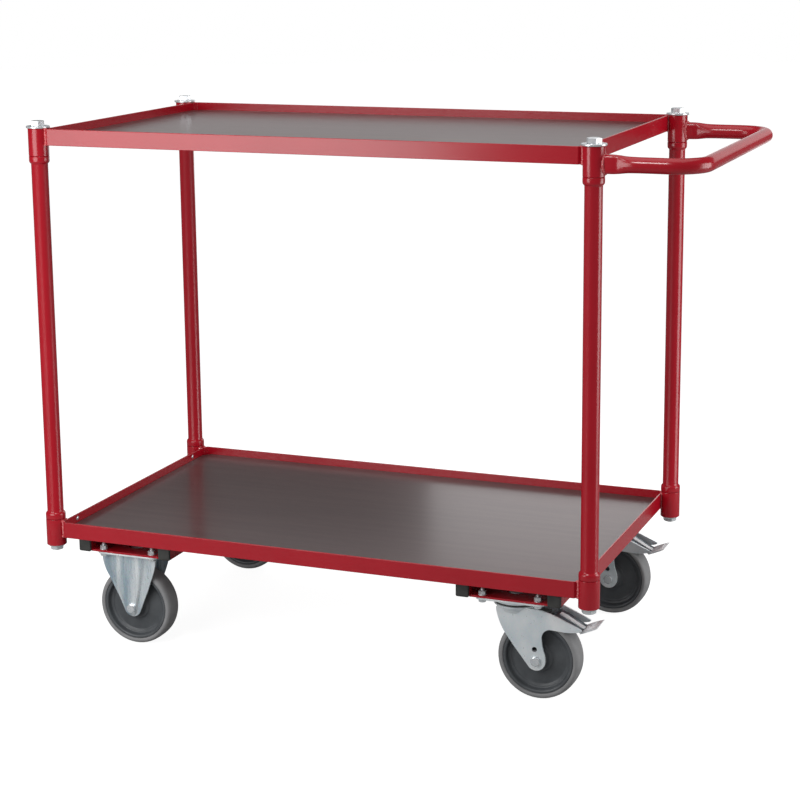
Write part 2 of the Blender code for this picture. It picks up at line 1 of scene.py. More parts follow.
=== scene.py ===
"""Looks of the two-shelf table trolley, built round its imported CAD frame.

Metres, +Z up, +X to the handle end, -Y to the front side. Every fine piece stands where its CAD node is.
"""

import json
import math

import bmesh
import bpy
from mathutils import Matrix, Vector, noise


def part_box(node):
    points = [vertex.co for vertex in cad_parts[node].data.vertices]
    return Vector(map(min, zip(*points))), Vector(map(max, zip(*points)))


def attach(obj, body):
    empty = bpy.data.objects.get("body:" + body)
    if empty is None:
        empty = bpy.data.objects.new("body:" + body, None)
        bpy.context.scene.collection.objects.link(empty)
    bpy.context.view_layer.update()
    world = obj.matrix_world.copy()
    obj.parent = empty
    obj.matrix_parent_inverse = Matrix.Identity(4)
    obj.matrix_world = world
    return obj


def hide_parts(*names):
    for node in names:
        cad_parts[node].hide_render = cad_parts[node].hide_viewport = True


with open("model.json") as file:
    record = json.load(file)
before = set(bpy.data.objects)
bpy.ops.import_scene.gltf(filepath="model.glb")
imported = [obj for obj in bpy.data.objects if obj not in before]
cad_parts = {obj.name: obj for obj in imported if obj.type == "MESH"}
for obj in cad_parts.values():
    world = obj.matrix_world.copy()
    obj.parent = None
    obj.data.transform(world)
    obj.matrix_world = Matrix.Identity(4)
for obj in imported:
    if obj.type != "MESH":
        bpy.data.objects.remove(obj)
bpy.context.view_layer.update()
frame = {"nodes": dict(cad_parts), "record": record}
BODY_OF = {node: body for body, nodes in frame["record"]["behaviour"]["bodies"].items() for node in nodes}

TURN = 2 * math.pi
FINE_SIDES = 96
SMALL_SIDES = 32
# Degrees between faces that shade as an edge
SHARP_ANGLE = 38
HEX_SHARP = 26
MOULDED_SHARP = 70
WELD_SHARP = 80

ENDS = {"left": -1, "right": 1}
SIDES = {"front": -1, "rear": 1}
CORNERS = {f"{side}_{end}": (ENDS[end], SIDES[side]) for side in SIDES for end in ENDS}

# Shelf frames, measured from the boards that lie in them
LIP_THICKNESS = 0.003
BOARD_INSET = 0.0033  # from the lip's outer face to the board's edge
LIP_HEIGHT = 0.025
FLANGE_WIDTH = 0.018
CORNER_CUT = 0.007
BOARD_CUT = 0.0125
SLEEVE_RADIUS = 0.0155
SLEEVE_BORE = 0.0125
SLEEVE_HEIGHT = 0.042
POST_RADIUS = 0.0128
COLLAR_HEIGHT = 0.011

# Fasteners at the corners
WASHER_RADIUS = 0.018
HEX_ACROSS = 0.019
HEAD_HEIGHT = 0.0075
NUT_FLANGE = (0.013, 0.002)  # radius and thickness
ROD_RADIUS = 0.006

# Handle tube
HANDLE_RADIUS = 0.011
HANDLE_BEND = 0.045

# Castor carriers and the bolts through them
TUBE_SIZE = 0.020
TUBE_ROUND = 0.0022
TUBE_OFFSET = 0.070
PLATE_DROP = 0.003
CARRIER_PLATE_WIDTH = 0.079
PIN_HOLE = 0.014
BOLT_SPACING = (0.0425, 0.0325)
BOLT_ACROSS = 0.010
BOLT_RADIUS = 0.003
BOLT_HEAD = 0.0042
BOLT_NUT = 0.0052
BOLT_WASHER = (0.0062, 0.0013)  # radius and thickness
BOLT_END = 0.0045

# Castors
PLATE_ROUND = 0.009
PLATE_THICKNESS = 0.003
LEG_INNER = 0.0226
LEG_THICKNESS = 0.0028
TOE_RADIUS = 0.0145
PRESS_DEPTH = 0.0017  # how far a rigid leg's panel stands out and its edges stand in
AXLE_ACROSS = 0.013
AXLE_HEAD = 0.0046
AXLE_RADIUS = 0.004
TRAIL = 0.037
CROWN_TOP = 0.1425

# Studio light: radiance of the fill, and each box's place, aim, size and radiance
FILL_LIGHT = 0.40
FILL_REFLECTED = 0.08
FLOOR_GLOW = 0.92
SOFT_BOXES = {
    "left_box": ((-0.88, -1.5, 0.88), (-0.88, 0.0, 0.88), (1.15, 1.1), 4.1),
    "right_box": ((1.7, 0.28, 0.7), (0.0, 0.28, 0.7), (0.9, 1.1), 4.2),
    "top_box": ((0.0, 0.0, 2.2), (0.0, 0.001, 0.0), (2.2, 1.6), 1.0),
    "back_box": ((0.0, 1.9, 1.20), (0.0, 0.0, 1.20), (3.6, 0.6), 0.58),
    "back_right_box": ((-0.05, 1.8, 0.64), (-0.05, 0.0, 0.64), (1.2, 0.52), 1.4),
    "lamp": ((0.08, -1.3, 1.8), (0.45, -0.24, 0.8), (0.25, 0.25), 26.0),
}


# ---------------------------------------------------------------- materials


def node_at(tree, kind, **settings):
    made = tree.nodes.new(kind)
    for key, value in settings.items():
        setattr(made, key, value)
    return made


def noise_node(tree, scale, detail=3.0, stretch=(1.0, 1.0, 1.0), rough=0.5):
    """Noise in object space, with its own stretch along each axis."""
    place = node_at(tree, "ShaderNodeTexCoord")
    spread = node_at(tree, "ShaderNodeMapping")
    spread.inputs["Scale"].default_value = stretch
    texture = node_at(tree, "ShaderNodeTexNoise")
    texture.inputs["Scale"].default_value = scale
    texture.inputs["Detail"].default_value = detail
    texture.inputs["Roughness"].default_value = rough
    tree.links.new(place.outputs["Object"], spread.inputs["Vector"])
    tree.links.new(spread.outputs["Vector"], texture.inputs["Vector"])
    return texture


def ramp(tree, source, low, high, start=0.35, end=0.65):
    """A two-colour ramp on a grey output."""
    made = node_at(tree, "ShaderNodeValToRGB")
    for element, color, position in zip(made.color_ramp.elements, (low, high), (start, end)):
        element.color = (*color, 1.0)
        element.position = position
    tree.links.new(source, made.inputs["Fac"])
    return made.outputs["Color"]


def spread_value(tree, source, low, high):
    made = node_at(tree, "ShaderNodeMapRange")
    made.inputs["To Min"].default_value = low
    made.inputs["To Max"].default_value = high
    tree.links.new(source, made.inputs["Value"])
    return made.outputs["Result"]


def surface(
    name, colors, roughness, cloud_scale, grain_scale, grain_depth, stretch=(1.0, 1.0, 1.0), **shader
):
    """A finish whose colour, roughness and fine relief all come from noise."""
    material = bpy.data.materials.new(name)
    material.use_nodes = True
    tree = material.node_tree
    principled = tree.nodes["Principled BSDF"]
    for key, value in shader.items():
        principled.inputs[key.replace("_", " ")].default_value = value
    cloud = noise_node(tree, cloud_scale, 4.0, stretch)
    grain = noise_node(tree, grain_scale, 2.0, stretch)
    tree.links.new(ramp(tree, cloud.outputs["Fac"], *colors), principled.inputs["Base Color"])
    tree.links.new(spread_value(tree, grain.outputs["Fac"], *roughness), principled.inputs["Roughness"])
    bump = node_at(tree, "ShaderNodeBump")
    bump.inputs["Strength"].default_value = 1.0
    bump.inputs["Distance"].default_value = grain_depth
    tree.links.new(grain.outputs["Fac"], bump.inputs["Height"])
    tree.links.new(bump.outputs["Normal"], principled.inputs["Normal"])
    return material


def zinc(name, tint, roughness, metallic, cloud_scale=60.0, stretch=(1.0, 1.0, 1.0)):
    """Zinc plate: a fine spangle in the colour and a soft cloudy roughness."""
    material = surface(name, tint, roughness, cloud_scale, 260.0, 0.000004, stretch, Metallic=metallic)
    tree = material.node_tree
    spangle = node_at(tree, "ShaderNodeTexVoronoi")
    spangle.inputs["Scale"].default_value = 420.0
    place = node_at(tree, "ShaderNodeTexCoord")
    tree.links.new(place.outputs["Object"], spangle.inputs["Vector"])
    principled = tree.nodes["Principled BSDF"]
    base = principled.inputs["Base Color"].links[0].from_socket
    mix = node_at(tree, "ShaderNodeMixRGB", blend_type="SOFT_LIGHT")
    mix.inputs["Fac"].default_value = 0.12
    tree.links.new(base, mix.inputs["Color1"])
    tree.links.new(spangle.outputs["Color"], mix.inputs["Color2"])
    tree.links.new(mix.outputs["Color"], principled.inputs["Base Color"])
    return material


RED = surface(
    "red_powder_coat_fine",
    ((0.40, 0.0040, 0.0140), (0.44, 0.0050, 0.0165)),
    (0.21, 0.24), 9.0, 120.0, 0.000004,
    Specular_IOR_Level=0.62,
)
# Painted highlight: the beads are a lighter pink than the red coat over them, standing in for the highlights
# on the weld lumps.
WELD_PAINTED_HIGHLIGHT = surface(
    "weld_pink_painted_highlight",
    ((0.55, 0.070, 0.080), (0.75, 0.180, 0.190)),
    (0.16, 0.28), 300.0, 500.0, 0.0002,
    Coat_Weight=0.6, Coat_Roughness=0.08,
)
BOARD = surface(
    "board_film_fine",
    ((0.066, 0.039, 0.038), (0.080, 0.049, 0.047)),
    (0.34, 0.42), 14.0, 260.0, 0.00002, (0.25, 6.0, 1.0),
    Coat_Weight=0.40, Coat_Roughness=0.17,
    Specular_Tint=(1.0, 0.84, 0.86, 1.0), Coat_Tint=(1.0, 0.92, 0.93, 1.0),
)
PRESSED = zinc(
    "pressed_zinc_fine", ((0.72, 0.80, 0.84), (0.94, 0.97, 0.98)), (0.24, 0.36), 0.35, 20.0, (1.3, 1.3, 0.7)
)
# Painted reflection: the rigid legs' zinc is streaked upright from blue-grey to white, standing in for studio
# bands reflected in the legs.
PAINTED_REFLECTION_ZINC = zinc(
    "reflection_banded_zinc_fine", ((0.38, 0.49, 0.56), (0.90, 0.95, 0.97)), (0.22, 0.36), 0.45, 16.0, (4.5, 4.5, 0.35)
)
BRIGHT = zinc("bright_zinc_fine", ((0.74, 0.79, 0.82), (0.88, 0.91, 0.93)), (0.16, 0.32), 0.6)
TONGUE = zinc("tongue_zinc_fine", ((0.80, 0.83, 0.85), (0.90, 0.92, 0.93)), (0.30, 0.44), 0.10)
# Painted shade: a dark copy of the zinc for the pedal arm, which sits in shade between the fork's cheeks.
SHADED = zinc("shaded_zinc_fine", ((0.16, 0.20, 0.23), (0.30, 0.36, 0.40)), (0.20, 0.40), 0.85)
CAP = surface(
    "cap_plastic_fine", ((0.030, 0.031, 0.029), (0.046, 0.047, 0.044)), (0.42, 0.60), 80.0, 900.0, 0.00005
)
RIM = surface(
    "rim_plastic_fine", ((0.078, 0.085, 0.092), (0.100, 0.108, 0.116)), (0.30, 0.44), 50.0, 800.0, 0.00004
)
RUBBER = surface(
    "grey_rubber_fine", ((0.245, 0.245, 0.250), (0.285, 0.285, 0.290)), (0.52, 0.68), 45.0, 900.0, 0.00008
)


# ---------------------------------------------------------------- shape helpers


def circle(radius, sides, centre=(0.0, 0.0)):
    return [
        (centre[0] + radius * math.cos(TURN * i / sides), centre[1] + radius * math.sin(TURN * i / sides))
        for i in range(sides)
    ]


def arc(centre, radius, start, end, steps):
    """Points of an arc, angles in degrees."""
    angles = [math.radians(start + (end - start) * i / steps) for i in range(steps + 1)]
    return [(centre[0] + radius * math.cos(a), centre[1] + radius * math.sin(a)) for a in angles]


def rounded_box(half_a, half_b, radius, steps=5):
    """Outline of a rectangle with rounded corners."""
    outline = []
    for sign_a, sign_b, start in ((1, 1, 0), (-1, 1, 90), (-1, -1, 180), (1, -1, 270)):
        centre = (sign_a * (half_a - radius), sign_b * (half_b - radius))
        outline += arc(centre, radius, start, start + 90, steps)
    return outline


def octagon(half_x, half_y, cut, inset=0.0):
    """Corners of a rectangle with cut corners, moved inwards by inset."""
    x, y = half_x - inset, half_y - inset
    c = cut - inset * (2 - math.sqrt(2))
    right = [(x, -y + c), (x, y - c), (x - c, y)]
    left = [(-x + c, y), (-x, y - c), (-x, -y + c)]
    return right + left + [(-x + c, -y), (x - c, -y)]


def softened(outline, rounds=2):
    """The outline with its corners cut off again and again."""
    for _ in range(rounds):
        ahead = outline[1:] + outline[:1]
        outline = [
            (a[0] * (1 - t) + b[0] * t, a[1] * (1 - t) + b[1] * t)
            for a, b in zip(outline, ahead)
            for t in (0.25, 0.75)
        ]
    return outline


def smooth_step(value):
    value = min(max(value, 0.0), 1.0)
    return value * value * (3 - 2 * value)


def through(points, value):
    """A smooth curve through (key, amount) points at a value of the key."""
    keys = [p[0] for p in points]
    index = max(i for i, key in enumerate(keys[:-1]) if key <= value or i == 0)
    a, b = points[index], points[index + 1]
    before = points[index - 1] if index else a
    after = points[index + 2] if index + 2 < len(points) else b
    span = b[0] - a[0]
    t = (value - a[0]) / span
    slope_a = (b[1] - before[1]) / (b[0] - before[0]) * span
    slope_b = (after[1] - a[1]) / (after[0] - a[0]) * span
    return (
        (2 * t**3 - 3 * t**2 + 1) * a[1] + (t**3 - 2 * t**2 + t) * slope_a
        + (3 * t**2 - 2 * t**3) * b[1] + (t**3 - t**2) * slope_b
    )


def closed_faces(bm):
    bmesh.ops.recalc_face_normals(bm, faces=bm.faces)
    return bm


def sheet(loops, low, high, axis="z", offset=(0.0, 0.0)):
    """A flat plate: the first loop is its outline and the others are holes. Axis y takes (x, z) loops."""
    bm = bmesh.new()
    for loop in loops:
        points = [(a + offset[0], b + offset[1]) for a, b in loop]
        verts = [bm.verts.new((a, b, low) if axis == "z" else (a, low, b)) for a, b in points]
        for i, vert in enumerate(verts):
            bm.edges.new((vert, verts[(i + 1) % len(verts)]))
    if len(loops) == 1:
        bm.faces.new(verts)
    else:
        bmesh.ops.triangle_fill(bm, use_beauty=True, use_dissolve=False, edges=bm.edges)
    raised = bmesh.ops.extrude_face_region(bm, geom=bm.faces[:])["geom"]
    step = Vector((0, 0, high - low)) if axis == "z" else Vector((0, high - low, 0))
    bmesh.ops.translate(bm, verts=[v for v in raised if isinstance(v, bmesh.types.BMVert)], vec=step)
    return closed_faces(bm)


def bridge(bm, rings, loop=False):
    pairs = list(zip(rings, rings[1:])) + ([(rings[-1], rings[0])] if loop else [])
    for ring, following in pairs:
        for i, vert in enumerate(ring):
            j = (i + 1) % len(ring)
            bm.faces.new((vert, ring[j], following[j], following[i]))


def turned(profile, sides=FINE_SIDES, axis="z"):
    """A turned piece from a closed loop of (radius, height); a radius of zero closes it on the axis."""
    bm = bmesh.new()
    rings = []
    for radius, height in profile:
        points = circle(radius, sides)
        rings.append([bm.verts.new((a, b, height) if axis == "z" else (a, height, b)) for a, b in points])
    bridge(bm, rings, loop=profile[0][0] > 0)
    bmesh.ops.remove_doubles(bm, verts=bm.verts, dist=1e-7)
    return closed_faces(bm)


def rounded_profile(points, radius, steps=4):
    """A closed section whose corners are rounded by radius, or less where an edge is short."""
    count = len(points)
    made = []
    for i, point in enumerate(points):
        here = Vector(point)
        before, after = Vector(points[i - 1]) - here, Vector(points[(i + 1) % count]) - here
        reach = min(radius, before.length * 0.45, after.length * 0.45)
        start, end = here + before.normalized() * reach, here + after.normalized() * reach
        for step in range(steps + 1):
            t = step / steps
            made.append(tuple(start * (1 - t) ** 2 + here * 2 * t * (1 - t) + end * t**2))
    return made


def hexagon(across, low, high, bore=0.0, sides_each=8, cut_low=False, cut_high=True):
    """A hexagon head or nut along z with its corners chamfered in the round."""
    flat = across / 2
    land = flat * 0.95
    count = 6 * sides_each
    radii = []
    for i in range(count):
        angle = TURN * i / count
        radii.append(flat / math.cos((angle % (TURN / 6)) - TURN / 12))
    bm = bmesh.new()

    def ring(radius_of, height_of):
        made = []
        for i in range(count):
            angle = TURN * i / count
            made.append(bm.verts.new((
                radius_of(i) * math.cos(angle), radius_of(i) * math.sin(angle), height_of(i)
            )))
        return made

    slope = math.tan(math.radians(30))
    rings = []
    if cut_low:
        rings.append(ring(lambda i: land, lambda i: low))
        rings.append(ring(lambda i: radii[i], lambda i: low + (radii[i] - land) * slope))
    else:
        rings.append(ring(lambda i: radii[i], lambda i: low))
    if cut_high:
        rings.append(ring(lambda i: radii[i], lambda i: high - (radii[i] - land) * slope))
        rings.append(ring(lambda i: land, lambda i: high))
    else:
        rings.append(ring(lambda i: radii[i], lambda i: high))
    inner = bore if bore else flat * 0.02
    rings.append(ring(lambda i: inner, lambda i: high))
    rings.append(ring(lambda i: inner, lambda i: low))
    bridge(bm, rings, loop=True)
    return closed_faces(bm)


def tube_along(path, section_at):
    """A solid swept along level path points, with a ring of (sideways, upward) offsets at each."""
    bm = bmesh.new()
    rings = []
    for i, point in enumerate(path):
        ahead = path[min(i + 1, len(path) - 1)]
        behind = path[max(i - 1, 0)]
        direction = (ahead - behind).normalized()
        sideways = Vector((direction.y, -direction.x, 0.0)).normalized()
        rings.append([bm.verts.new(point + sideways * a + Vector((0, 0, b))) for a, b in section_at(i)])
    bridge(bm, rings)
    bm.faces.new(rings[0])
    bm.faces.new(rings[-1])
    return closed_faces(bm)


def bead(path, radius, reference, closed=False, ripple=0.0028, sides=10):
    """A weld bead: a thin tube that ripples and wanders along close path points."""
    bm = bmesh.new()
    rings = []
    count = len(path)
    run = 0.0
    for i, point in enumerate(path):
        ahead = path[(i + 1) % count] if closed else path[min(i + 1, count - 1)]
        behind = path[i - 1] if closed or i else path[0]
        run += (point - behind).length if i else 0.0
        direction = (ahead - behind).normalized()
        side = direction.cross(reference).normalized()
        up = side.cross(direction)
        size = radius * (1 + 0.20 * math.sin(TURN * run / ripple) + 0.35 * noise.noise(point * 350))
        if not closed:
            size *= math.sqrt(max(0.08, 1 - (2 * i / (count - 1) - 1) ** 6))
        rings.append([bm.verts.new(point + (side * a + up * b) * size) for a, b in circle(1.0, sides)])
    bridge(bm, rings, loop=closed)
    if not closed:
        bm.faces.new(rings[0])
        bm.faces.new(rings[-1])
    return closed_faces(bm)


def joined(parts):
    """Several bmeshes in one."""
    whole = bmesh.new()
    for part in parts:
        mesh = bpy.data.meshes.new("part")
        part.to_mesh(mesh)
        part.free()
        whole.from_mesh(mesh)
        bpy.data.meshes.remove(mesh)
    return whole


def moved(bm, offset=(0.0, 0.0, 0.0), flip=False):
    """The bmesh turned half round about z if flip is set, then moved."""
    if flip:
        bmesh.ops.rotate(bm, verts=bm.verts, matrix=Matrix.Rotation(math.pi, 3, "Z"))
    bmesh.ops.translate(bm, verts=bm.verts, vec=offset)
    return bm


def to_y(bm, way):
    """A piece made along z laid along y, with its top facing way."""
    turn = Matrix.Rotation(math.radians(-90 * way), 3, "X")
    bmesh.ops.rotate(bm, verts=bm.verts, matrix=turn)
    return bm


def show(name, bm, material, body, where=(0.0, 0.0, 0.0), replaces=(), bevel=0.0, steps=3, sharp=SHARP_ANGLE):
    """The bmesh as a shown piece on its body, at its place, with its material."""
    mesh = bpy.data.meshes.new(name)
    bm.to_mesh(mesh)
    bm.free()
    mesh.materials.append(material)
    mesh.shade_smooth()
    piece = bpy.data.objects.new(name, mesh)
    bpy.context.scene.collection.objects.link(piece)
    piece.location = where
    if bevel:
        soft = piece.modifiers.new("edges", "BEVEL")
        soft.width, soft.segments = bevel, steps
        soft.limit_method, soft.angle_limit = "ANGLE", math.radians(28)
        soft.harden_normals = True
    else:
        mesh.set_sharp_from_angle(angle=math.radians(sharp))
    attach(piece, body)
    if replaces:
        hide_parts(*replaces)


def middle(node):
    low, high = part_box(node)
    return (low + high) / 2


# ---------------------------------------------------------------- shelves

CENTRE = middle("lower_shelf_frame")


def shelf(level):
    node = f"{level}_shelf_board"
    low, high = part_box(node)
    half_x, half_y = (high.x - low.x) / 2 + BOARD_INSET, (high.y - low.y) / 2 + BOARD_INSET
    lip_bottom = low.z - BOARD_INSET
    frame_low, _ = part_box(f"{level}_shelf_frame")
    section = [
        (0.0, 0.0), (0.0, LIP_HEIGHT), (LIP_THICKNESS, LIP_HEIGHT),
        (LIP_THICKNESS, LIP_THICKNESS), (FLANGE_WIDTH, LIP_THICKNESS), (FLANGE_WIDTH, 0.0),
    ]
    bm = bmesh.new()
    rings = []
    for inset, height in section:
        outline = octagon(half_x, half_y, CORNER_CUT, inset)
        rings.append([bm.verts.new((x, y, lip_bottom + height)) for x, y in outline])
    bridge(bm, rings, loop=True)
    centre = (CENTRE.x, 0.0, 0.0)
    show(
        f"{level}_frame_angles", closed_faces(bm), RED, "root", centre, [f"{level}_shelf_frame"], 0.0008
    )
    profile = rounded_profile([
        (SLEEVE_BORE, 0.0), (SLEEVE_BORE, SLEEVE_HEIGHT),
        (SLEEVE_RADIUS, SLEEVE_HEIGHT), (SLEEVE_RADIUS, 0.0),
    ], 0.0007)
    for corner, (end, side) in CORNERS.items():
        post = middle(f"post_{corner}")
        show(f"{level}_sleeve_{corner}", turned(profile), RED, "root", (post.x, post.y, frame_low.z))
        corner_welds(level, corner, end, side, post, half_x, half_y, lip_bottom)
    board = octagon(half_x - BOARD_INSET, half_y - BOARD_INSET, BOARD_CUT)
    show(f"{level}_board_panel", sheet([board], low.z, high.z), BOARD, "root", centre, [node], 0.0004)


def corner_welds(level, corner, end, side, post, half_x, half_y, lip_bottom):
    """Upright beads where a sleeve meets the cut corner and the end lip, with a blob at each end."""
    px, py = abs(post.x - CENTRE.x), abs(post.y)
    reach = (px + py - (half_x + half_y - CORNER_CUT)) / math.sqrt(2)
    chord = math.sqrt(SLEEVE_RADIUS**2 - reach**2)
    foot = Vector((px - reach / math.sqrt(2), py - reach / math.sqrt(2)))
    on_cut = foot + Vector((-chord, chord)) / math.sqrt(2)
    on_end = Vector((half_x, py - math.sqrt(SLEEVE_RADIUS**2 - (px - half_x) ** 2)))
    beads = []
    for index, spot in enumerate((on_cut, on_end)):
        x, y = CENTRE.x + end * spot.x, side * spot.y
        path = []
        for step in range(41):
            sway = 0.0004 * math.sin(step * 0.9 + index)
            path.append(Vector((x + sway, y, lip_bottom + 0.0006 + LIP_HEIGHT * 0.975 * step / 40)))
        beads.append(bead(path, 0.0021, Vector((1, 0, 0))))
        for height in (0.0010, LIP_HEIGHT - 0.0006):
            blob = bmesh.new()
            bmesh.ops.create_icosphere(blob, subdivisions=3, radius=0.0032)
            for vert in blob.verts:
                vert.co *= 1 + 0.25 * noise.noise(vert.co * 500 + Vector((index, height * 90, end)))
                vert.co.z *= 0.75
            beads.append(moved(blob, (x, y, lip_bottom + height)))
    show(f"{level}_welds_{corner}", joined(beads), WELD_PAINTED_HIGHLIGHT, "root", sharp=WELD_SHARP)


def rivets():
    """Small rivets in the inner face of the lower frame's left lip."""
    low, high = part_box("lower_shelf_board")
    lip_inner = low.x - BOARD_INSET + LIP_THICKNESS
    profile = [(0.0, 0.0014), (0.0016, 0.0012), (0.0028, 0.0006), (0.0032, 0.0), (0.0, 0.0)]
    for index, share in enumerate((0.09, 0.90)):
        bm = turned(profile, SMALL_SIDES)
        bmesh.ops.rotate(bm, verts=bm.verts, matrix=Matrix.Rotation(math.radians(90), 3, "Y"))
        where = (lip_inner, low.y + (high.y - low.y) * share, high.z + 0.0065)
        show(f"lip_rivet_{index}", bm, BRIGHT, "root", where)


# ---------------------------------------------------------------- posts, rods and handle


def post(corner):
    low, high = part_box(f"post_{corner}")
    top = high.z - low.z
    collar = [
        (SLEEVE_RADIUS - 0.0009, 0.0), (SLEEVE_RADIUS - 0.0002, 0.0004), (SLEEVE_RADIUS, 0.0012),
        (SLEEVE_RADIUS, COLLAR_HEIGHT - 0.0034), (SLEEVE_RADIUS - 0.0004, COLLAR_HEIGHT - 0.0018),
        (SLEEVE_RADIUS - 0.0013, COLLAR_HEIGHT - 0.0006), (POST_RADIUS + 0.0004, COLLAR_HEIGHT + 0.0004),
        (POST_RADIUS, COLLAR_HEIGHT + 0.0016),
    ]
    upper = [(radius, top - height) for radius, height in reversed(collar)]
    profile = [(0.0105, 0.0), *collar, *upper, (0.0105, top)]
    centre = (low + high) / 2
    where = (centre.x, centre.y, low.z)
    show(f"post_tube_{corner}", turned(profile), RED, "root", where, [f"post_{corner}"], sharp=50)


def corner_fasteners(corner):
    rod_low, rod_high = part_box(f"tie_rod_{corner}")
    nut_low, nut_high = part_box(f"bottom_nut_{corner}")
    washer_low, washer_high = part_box(f"top_washer_{corner}")
    x, y = (rod_low.x + rod_high.x) / 2, (rod_low.y + rod_high.y) / 2
    where = (x, y, 0.0)
    hole = ROD_RADIUS + 0.0004
    washer = rounded_profile([
        (hole, washer_low.z), (WASHER_RADIUS, washer_low.z),
        (WASHER_RADIUS, washer_high.z), (hole, washer_high.z),
    ], 0.0009)
    show(f"washer_{corner}", turned(washer), BRIGHT, "root", where, [f"top_washer_{corner}"])
    head = hexagon(HEX_ACROSS, rod_high.z - HEAD_HEIGHT, rod_high.z)
    collar = turned(rounded_profile([
        (0.0, rod_high.z - HEAD_HEIGHT), (0.0098, rod_high.z - HEAD_HEIGHT),
        (0.0098, rod_high.z - HEAD_HEIGHT + 0.0006), (0.0, rod_high.z - HEAD_HEIGHT + 0.0006),
    ], 0.0002), SMALL_SIDES)
    shank = thread(ROD_RADIUS, rod_low.z, rod_low.z + 0.012)
    plain_low, plain_high = rod_low.z + 0.011, rod_high.z - HEAD_HEIGHT + 0.001
    plain = turned(
        [(0.0, plain_low), (ROD_RADIUS, plain_low), (ROD_RADIUS, plain_high), (0.0, plain_high)], SMALL_SIDES
    )
    rod = joined([head, collar, shank, plain])
    show(f"rod_{corner}", rod, BRIGHT, "root", where, [f"tie_rod_{corner}"], sharp=HEX_SHARP)
    nut = hexagon(HEX_ACROSS, nut_low.z, nut_high.z - NUT_FLANGE[1] * 0.5, hole, cut_low=True, cut_high=False)
    flange = turned(rounded_profile([
        (hole, nut_high.z - NUT_FLANGE[1]), (NUT_FLANGE[0] - 0.002, nut_high.z - NUT_FLANGE[1] - 0.0008),
        (NUT_FLANGE[0], nut_high.z - 0.0012), (NUT_FLANGE[0], nut_high.z), (hole, nut_high.z),
    ], 0.0004), SMALL_SIDES * 2)
    nut = joined([nut, flange])
    show(f"flange_nut_{corner}", nut, BRIGHT, "root", where, [f"bottom_nut_{corner}"], sharp=HEX_SHARP)


def thread(radius, low, high, pitch=0.00125, sides=24):
    """A threaded end: ridges of the thread's pitch and a chamfered tip at the low end."""
    profile = [(0.0, low), (radius - 0.0012, low)]
    height = low + pitch
    while height < high - pitch:
        profile += [(radius - 0.0006, height), (radius, height + pitch / 2)]
        height += pitch
    profile += [(radius - 0.0002, high), (0.0, high)]
    return turned(profile, sides)


def handle():
    low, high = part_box("push_handle")
    grip_x = high.x - HANDLE_RADIUS
    half_y = (high.y - low.y) / 2 - HANDLE_RADIUS
    height = (low.z + high.z) / 2
    start = low.x - 0.0012
    arm_end = grip_x - HANDLE_BEND
    runs = [0.0025 * i for i in range(int((arm_end - start) / 0.0025))]
    front = [(start + run, -half_y) for run in runs]
    front += arc((arm_end, -half_y + HANDLE_BEND), HANDLE_BEND, -90, 0, 20)
    straight = [(grip_x, -half_y + HANDLE_BEND + 2 * (half_y - HANDLE_BEND) * i / 24) for i in range(1, 24)]
    rear = [(x, -y) for x, y in reversed(front)]
    path = [Vector((x, y, height)) for x, y in front + straight + rear]
    widths = [
        (0.0, 0.0072), (0.012, 0.0070), (0.019, 0.0066), (0.028, 0.0088), (0.040, 0.0108), (0.052, 0.011),
        (9.0, 0.011),
    ]
    heights = [
        (0.0, 0.01325), (0.012, 0.01325), (0.021, 0.0127), (0.032, 0.0115), (0.044, 0.0111), (0.056, 0.011),
        (9.0, 0.011),
    ]

    def section(i):
        run = path[i].x - start
        near = 1 - smooth_step((run - 0.012) / 0.022)
        size = (
            through(widths, run) if run < 0.052 else HANDLE_RADIUS,
            through(heights, run) if run < 0.056 else HANDLE_RADIUS,
        )
        power = 2 / (2 + 1.8 * near)
        return [
            tuple(math.copysign(abs(share) ** power, share) * half for share, half in zip(point, size))
            for point in circle(1.0, 56)
        ]

    show("handle_tube", tube_along(path, section), RED, "root", replaces=["push_handle"], sharp=60)
    for name, way in SIDES.items():
        post_x = middle(f"post_{name}_right").x
        loop = []
        for a, b in circle(1.0, 96):
            across, up = 0.0074 * a, 0.0132 * b
            loop.append(Vector((
                post_x + math.sqrt(SLEEVE_RADIUS**2 - across**2) + 0.0002, way * half_y + across, height + up
            )))
        weld = bead(loop, 0.0022, Vector((1, 0, 0)), closed=True)
        show(f"handle_weld_{name}", weld, WELD_PAINTED_HIGHLIGHT, "root", sharp=WELD_SHARP)


# ---------------------------------------------------------------- carriers and castor bolts


def carrier(end):
    node = f"castor_carrier_{end}"
    low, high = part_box(node)
    centre = (low + high) / 2
    length = (high.y - low.y) / 2
    tube_middle = high.z - TUBE_SIZE / 2
    outline = rounded_box(TUBE_SIZE / 2, TUBE_SIZE / 2, TUBE_ROUND)
    parts = []
    for x in (-TUBE_OFFSET, TUBE_OFFSET):
        parts.append(sheet([outline], -length, length, "y", (x, tube_middle)))
    for side in SIDES:
        y = middle(f"tyre_{side}_{end}").y
        half_x = TUBE_OFFSET - TUBE_SIZE / 2 + 0.0005
        plate = [(-half_x, -CARRIER_PLATE_WIDTH / 2), (half_x, -CARRIER_PLATE_WIDTH / 2),
                 (half_x, CARRIER_PLATE_WIDTH / 2), (-half_x, CARRIER_PLATE_WIDTH / 2)]
        parts.append(sheet([plate, circle(PIN_HOLE, 48)], low.z, low.z + PLATE_DROP, "z", (0.0, y)))
        for x_way in (-1, 1):
            x = x_way * (TUBE_OFFSET - TUBE_SIZE / 2)
            path = [
                Vector((x, y + CARRIER_PLATE_WIDTH * (step / 60 - 0.5), low.z + PLATE_DROP))
                for step in range(61)
            ]
            parts.append(bead(path, 0.0014, Vector((0, 0, 1)), sides=8))
    show(f"carrier_{end}", joined(parts), RED, "root", (centre.x, 0.0, 0.0), [node], 0.0004, 2)


